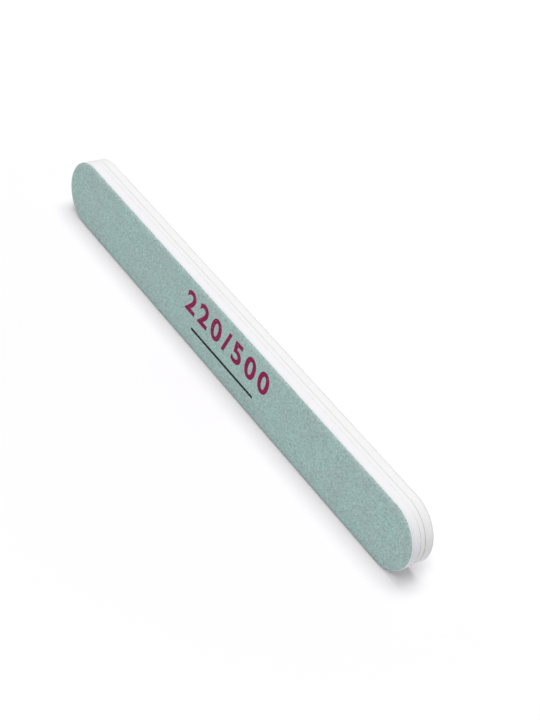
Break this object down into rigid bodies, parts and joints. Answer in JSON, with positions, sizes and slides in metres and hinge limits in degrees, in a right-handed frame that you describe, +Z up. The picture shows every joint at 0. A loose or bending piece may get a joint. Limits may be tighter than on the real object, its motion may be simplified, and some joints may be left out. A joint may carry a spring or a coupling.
{
  "type": "nail buffer",
  "caption": "Flat bar-shaped nail buffer with half-round ends: a stiff core board between foam pads, faced with green abrasive paper on one side and grey on the other.",
  "frame": {"origin": "middle of the long edge that the bar stands on, at the centre of its length and thickness", "axes": "+X along the length of the bar, +Y through its thickness from the green face to the grey face, +Z up across its width"},
  "size_m": [0.178, 0.0084, 0.022],
  "materials": {
    "green_grit": "matt sage-green abrasive grain in resin",
    "grey_grit": "matt dark grey abrasive grain in resin",
    "white_paper": "white latex-filled backing paper, cut edge",
    "film_adhesive": "clear tacky film",
    "lavender_white_foam": "closed-cell foam, cut edge, cool white",
    "warm_white_foam": "closed-cell foam, cut edge, warm white",
    "core_plastic": "white polystyrene board, cut edge",
    "pale_glue": "dried glue line, pale",
    "amber_glue": "dried glue line, brownish",
    "print_ink": "thin screen-printed ink, crimson",
    "black_ink": "thin screen-printed ink, black"
  },
  "bodies": {
    "root": {"green_grit_coat": "green_grit", "green_backing_paper": "white_paper", "green_paper_adhesive": "film_adhesive", "green_foam_pad": "lavender_white_foam", "green_core_adhesive": "pale_glue", "core_board": "core_plastic", "grey_core_adhesive": "amber_glue", "grey_foam_pad": "warm_white_foam", "grey_paper_adhesive": "film_adhesive", "grey_backing_paper": "white_paper", "grey_grit_coat": "grey_grit"}
  },
  "joints": []
}
